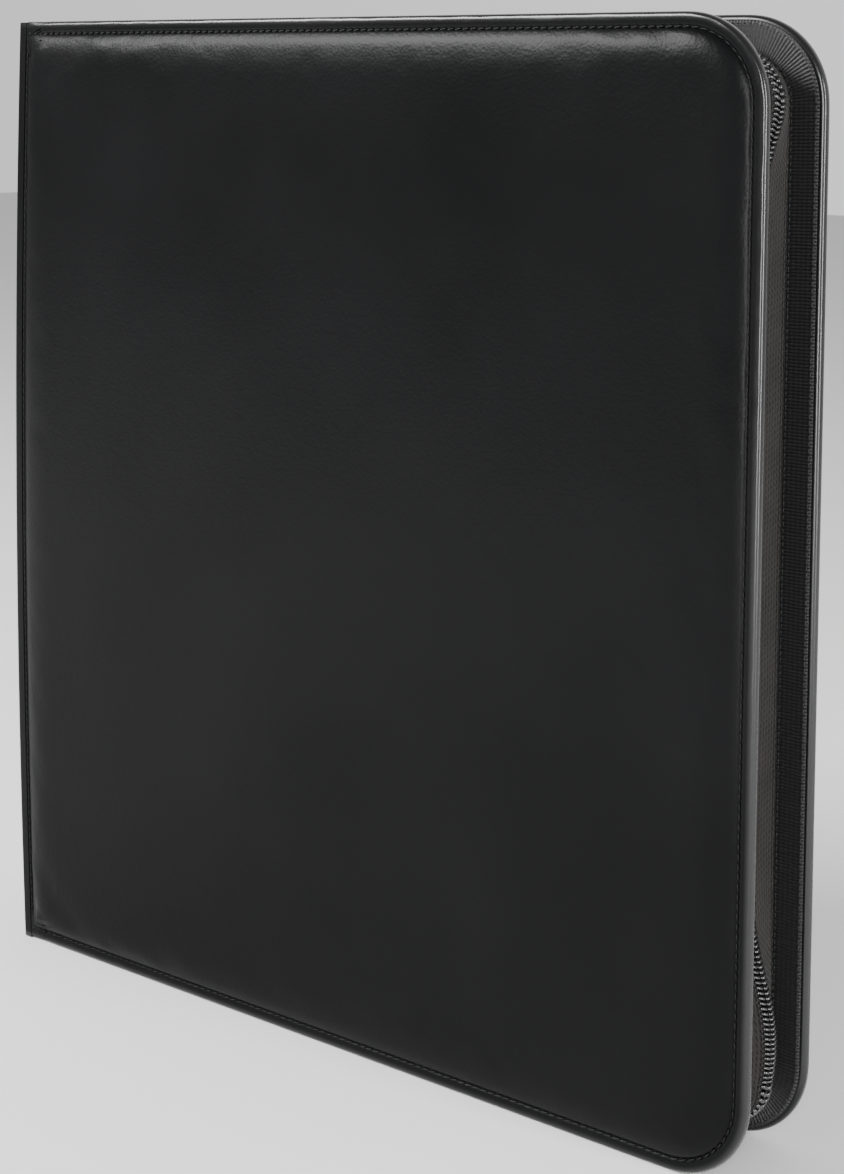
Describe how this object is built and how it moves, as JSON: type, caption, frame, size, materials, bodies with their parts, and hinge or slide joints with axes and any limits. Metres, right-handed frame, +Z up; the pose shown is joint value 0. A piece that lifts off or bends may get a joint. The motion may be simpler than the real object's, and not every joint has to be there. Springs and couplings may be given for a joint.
{
  "type": "zippered card binder",
  "caption": "Flat padded leatherette binder with bound pocket leaves, rounded fore corners and a coil zipper round its three open edges.",
  "frame": {"origin": "middle of the bounding box on the plane that the binder stands on", "axes": "+Z up along the spine, +X from the spine to the fore edge, the front cover faces -Y and the back cover +Y"},
  "size_m": [0.32, 0.0434, 0.349],
  "materials": {
    "leatherette": "satin",
    "foam": "matte",
    "board": "matte",
    "lining": "matte",
    "webbing": "matte",
    "zip_tape": "matte",
    "zip_coil": "satin",
    "zip_metal": "satin",
    "binding": "satin",
    "leaf": "satin"
  },
  "bodies": {
    "back_cover": {"back_cover_skin": "leatherette", "back_cover_foam": "foam", "back_cover_board": "board", "back_cover_lining": "lining", "back_edge_webbing": "webbing", "back_zip_tape": "zip_tape", "back_zip_coil": "zip_coil", "zip_top_stop": "zip_coil", "zip_bottom_stop": "zip_coil", "zip_end_tab_top": "leatherette", "zip_end_tab_bottom": "leatherette"},
    "spine": {"spine_skin": "leatherette", "spine_foam": "foam", "spine_board": "board", "spine_lining": "lining", "page_binding": "binding", "front_hinge_roll": "leatherette", "back_hinge_roll": "leatherette"},
    "front_cover": {"front_cover_skin": "leatherette", "front_cover_foam": "foam", "front_cover_board": "board", "front_cover_lining": "lining", "front_edge_webbing": "webbing", "front_zip_tape": "zip_tape", "front_zip_coil": "zip_coil"},
    "page_01": {"page_01": "leaf"},
    "page_02": {"page_02": "leaf"},
    "page_03": {"page_03": "leaf"},
    "page_04": {"page_04": "leaf"},
    "page_05": {"page_05": "leaf"},
    "page_06": {"page_06": "leaf"},
    "page_07": {"page_07": "leaf"},
    "page_08": {"page_08": "leaf"},
    "page_09": {"page_09": "leaf"},
    "page_10": {"page_10": "leaf"},
    "page_11": {"page_11": "leaf"},
    "page_12": {"page_12": "leaf"},
    "page_13": {"page_13": "leaf"},
    "page_14": {"page_14": "leaf"},
    "page_15": {"page_15": "leaf"},
    "page_16": {"page_16": "leaf"},
    "page_17": {"page_17": "leaf"},
    "page_18": {"page_18": "leaf"},
    "page_19": {"page_19": "leaf"},
    "page_20": {"page_20": "leaf"},
    "zip_slider": {"zip_slider": "zip_metal"},
    "zip_pull": {"zip_pull_tab": "zip_metal"}
  },
  "joints": [
    {"name": "back_hinge", "type": "hinge", "parent": "back_cover", "child": "spine", "pos_m": [-0.1558, 0.0175, 0.1745], "axis": [0, 0, -1], "range_deg": [0, 90]},
    {"name": "front_hinge", "type": "hinge", "parent": "spine", "child": "front_cover", "pos_m": [-0.1558, -0.0175, 0.1745], "axis": [0, 0, -1], "range_deg": [0, 90]},
    {"name": "page_01_turn", "type": "hinge", "parent": "spine", "child": "page_01", "pos_m": [-0.1499, -0.01235, 0.1745], "axis": [0, 0, -1], "range_deg": [0, 84]},
    {"name": "page_02_turn", "type": "hinge", "parent": "spine", "child": "page_02", "pos_m": [-0.1493, -0.01105, 0.1745], "axis": [0, 0, -1], "range_deg": [0, 81.6]},
    {"name": "page_03_turn", "type": "hinge", "parent": "spine", "child": "page_03", "pos_m": [-0.1487, -0.00975, 0.1745], "axis": [0, 0, -1], "range_deg": [0, 79.2]},
    {"name": "page_04_turn", "type": "hinge", "parent": "spine", "child": "page_04", "pos_m": [-0.1481, -0.00845, 0.1745], "axis": [0, 0, -1], "range_deg": [0, 76.7]},
    {"name": "page_05_turn", "type": "hinge", "parent": "spine", "child": "page_05", "pos_m": [-0.1475, -0.00715, 0.1745], "axis": [0, 0, -1], "range_deg": [0, 74.3]},
    {"name": "page_06_turn", "type": "hinge", "parent": "spine", "child": "page_06", "pos_m": [-0.1469, -0.00585, 0.1745], "axis": [0, 0, -1], "range_deg": [0, 71.9]},
    {"name": "page_07_turn", "type": "hinge", "parent": "spine", "child": "page_07", "pos_m": [-0.1463, -0.00455, 0.1745], "axis": [0, 0, -1], "range_deg": [0, 69.4]},
    {"name": "page_08_turn", "type": "hinge", "parent": "spine", "child": "page_08", "pos_m": [-0.1457, -0.00325, 0.1745], "axis": [0, 0, -1], "range_deg": [0, 67]},
    {"name": "page_09_turn", "type": "hinge", "parent": "spine", "child": "page_09", "pos_m": [-0.1451, -0.00195, 0.1745], "axis": [0, 0, -1], "range_deg": [0, 64.6]},
    {"name": "page_10_turn", "type": "hinge", "parent": "spine", "child": "page_10", "pos_m": [-0.1445, -0.00065, 0.1745], "axis": [0, 0, -1], "range_deg": [0, 62.1]},
    {"name": "page_11_turn", "type": "hinge", "parent": "spine", "child": "page_11", "pos_m": [-0.1445, 0.00065, 0.1745], "axis": [0, 0, 1], "range_deg": [0, 62.1]},
    {"name": "page_12_turn", "type": "hinge", "parent": "spine", "child": "page_12", "pos_m": [-0.1451, 0.00195, 0.1745], "axis": [0, 0, 1], "range_deg": [0, 64.6]},
    {"name": "page_13_turn", "type": "hinge", "parent": "spine", "child": "page_13", "pos_m": [-0.1457, 0.00325, 0.1745], "axis": [0, 0, 1], "range_deg": [0, 67]},
    {"name": "page_14_turn", "type": "hinge", "parent": "spine", "child": "page_14", "pos_m": [-0.1463, 0.00455, 0.1745], "axis": [0, 0, 1], "range_deg": [0, 69.4]},
    {"name": "page_15_turn", "type": "hinge", "parent": "spine", "child": "page_15", "pos_m": [-0.1469, 0.00585, 0.1745], "axis": [0, 0, 1], "range_deg": [0, 71.9]},
    {"name": "page_16_turn", "type": "hinge", "parent": "spine", "child": "page_16", "pos_m": [-0.1475, 0.00715, 0.1745], "axis": [0, 0, 1], "range_deg": [0, 74.3]},
    {"name": "page_17_turn", "type": "hinge", "parent": "spine", "child": "page_17", "pos_m": [-0.1481, 0.00845, 0.1745], "axis": [0, 0, 1], "range_deg": [0, 76.7]},
    {"name": "page_18_turn", "type": "hinge", "parent": "spine", "child": "page_18", "pos_m": [-0.1487, 0.00975, 0.1745], "axis": [0, 0, 1], "range_deg": [0, 79.2]},
    {"name": "page_19_turn", "type": "hinge", "parent": "spine", "child": "page_19", "pos_m": [-0.1493, 0.01105, 0.1745], "axis": [0, 0, 1], "range_deg": [0, 81.6]},
    {"name": "page_20_turn", "type": "hinge", "parent": "spine", "child": "page_20", "pos_m": [-0.1499, 0.01235, 0.1745], "axis": [0, 0, 1], "range_deg": [0, 84]},
    {"name": "zip_slide", "type": "slide", "parent": "back_cover", "child": "zip_slider", "axis": [1, 0, 0], "range_m": [0, 0.26]},
    {"name": "zip_pull_swing", "type": "hinge", "parent": "zip_slider", "child": "zip_pull", "pos_m": [-0.1355, 0, 0.3406], "axis": [0, -1, 0], "range_deg": [0, 150]}
  ],
  "couplings": [
    {"joint": "front_hinge", "follows": "back_hinge", "ratio": 1},
    {"joint": "page_01_turn", "follows": "back_hinge", "ratio": 0.933},
    {"joint": "page_02_turn", "follows": "back_hinge", "ratio": 0.906},
    {"joint": "page_03_turn", "follows": "back_hinge", "ratio": 0.879},
    {"joint": "page_04_turn", "follows": "back_hinge", "ratio": 0.852},
    {"joint": "page_05_turn", "follows": "back_hinge", "ratio": 0.825},
    {"joint": "page_06_turn", "follows": "back_hinge", "ratio": 0.798},
    {"joint": "page_07_turn", "follows": "back_hinge", "ratio": 0.771},
    {"joint": "page_08_turn", "follows": "back_hinge", "ratio": 0.744},
    {"joint": "page_09_turn", "follows": "back_hinge", "ratio": 0.717},
    {"joint": "page_10_turn", "follows": "back_hinge", "ratio": 0.69},
    {"joint": "page_11_turn", "follows": "back_hinge", "ratio": 0.69},
    {"joint": "page_12_turn", "follows": "back_hinge", "ratio": 0.717},
    {"joint": "page_13_turn", "follows": "back_hinge", "ratio": 0.744},
    {"joint": "page_14_turn", "follows": "back_hinge", "ratio": 0.771},
    {"joint": "page_15_turn", "follows": "back_hinge", "ratio": 0.798},
    {"joint": "page_16_turn", "follows": "back_hinge", "ratio": 0.825},
    {"joint": "page_17_turn", "follows": "back_hinge", "ratio": 0.852},
    {"joint": "page_18_turn", "follows": "back_hinge", "ratio": 0.879},
    {"joint": "page_19_turn", "follows": "back_hinge", "ratio": 0.906},
    {"joint": "page_20_turn", "follows": "back_hinge", "ratio": 0.933}
  ]
}
